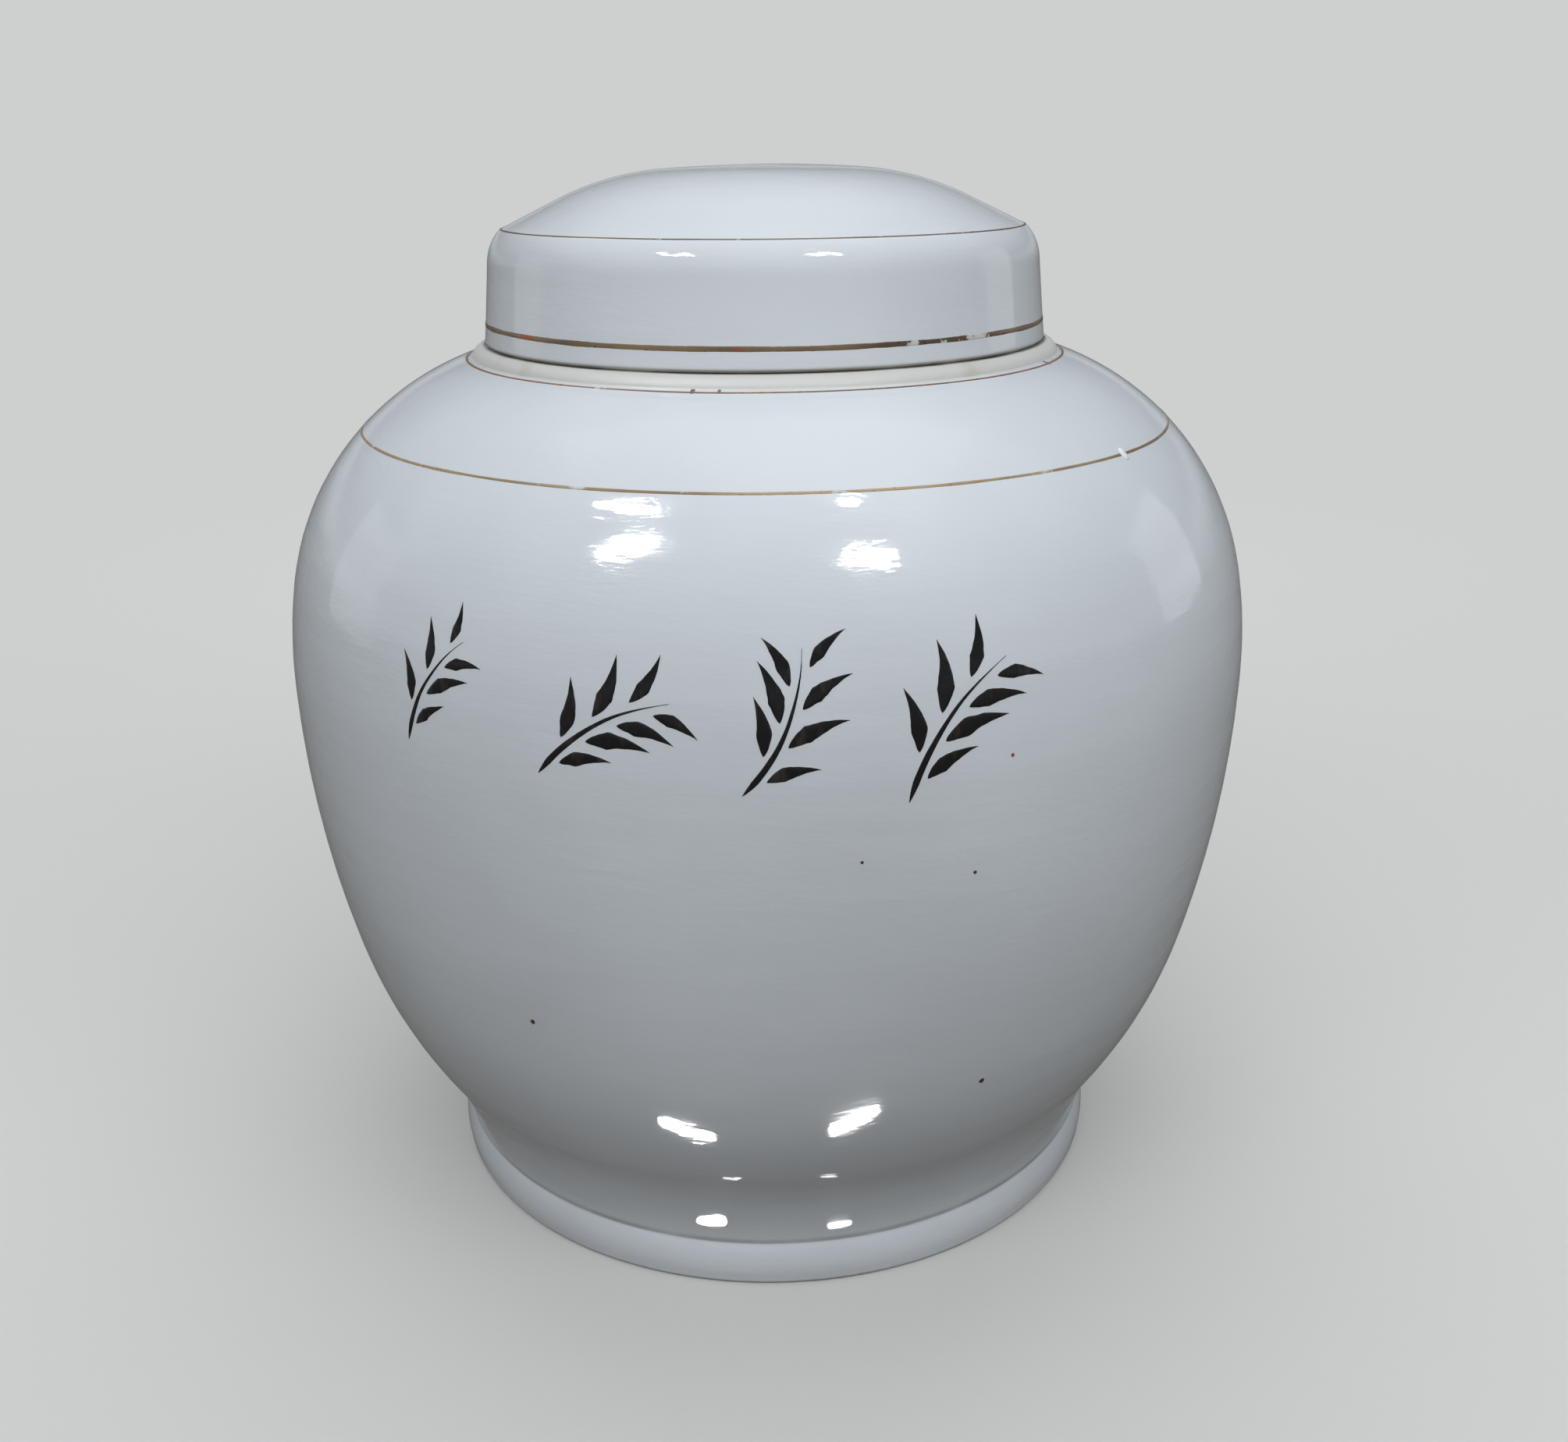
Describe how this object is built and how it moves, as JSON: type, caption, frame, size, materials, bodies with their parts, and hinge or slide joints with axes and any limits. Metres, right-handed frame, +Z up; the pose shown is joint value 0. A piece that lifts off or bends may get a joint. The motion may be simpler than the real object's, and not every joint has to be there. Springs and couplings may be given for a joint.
{
  "type": "ginger jar",
  "caption": "Glazed porcelain storage jar with high round shoulders, a narrow foot ring and a short wide neck under a loose domed cap lid, with gilt lines and painted sprays on the front.",
  "frame": {"origin": "centre of the foot ring's underside", "axes": "+Z up through the middle of the lid, -Y towards the side with the painted sprays, +X to that side's right"},
  "size_m": [0.2054, 0.2054, 0.2177],
  "materials": {
    "jar_glaze": "glossy bluish white glaze, bare cream porcelain on the foot ring, the ledge and the neck",
    "lid_glaze": "glossy bluish white glaze, bare rim",
    "gilt": "thin fired gold line, slightly worn",
    "enamel": "black brushed enamel under a thin gloss"
  },
  "bodies": {
    "jar": {"jar_body": "jar_glaze", "neck_gilt_line": "gilt", "shoulder_gilt_line": "gilt", "painted_spray_a": "enamel", "painted_spray_b": "enamel", "painted_spray_c": "enamel", "painted_spray_d": "enamel"},
    "lid_piece": {"lid": "lid_glaze", "crown_gilt_line": "gilt", "skirt_gilt_line": "gilt"}
  },
  "joints": [
    {"name": "lid_lift", "type": "slide", "parent": "jar", "child": "lid_piece", "axis": [0, 0, 1], "range_m": [0, 0.12]}
  ]
}
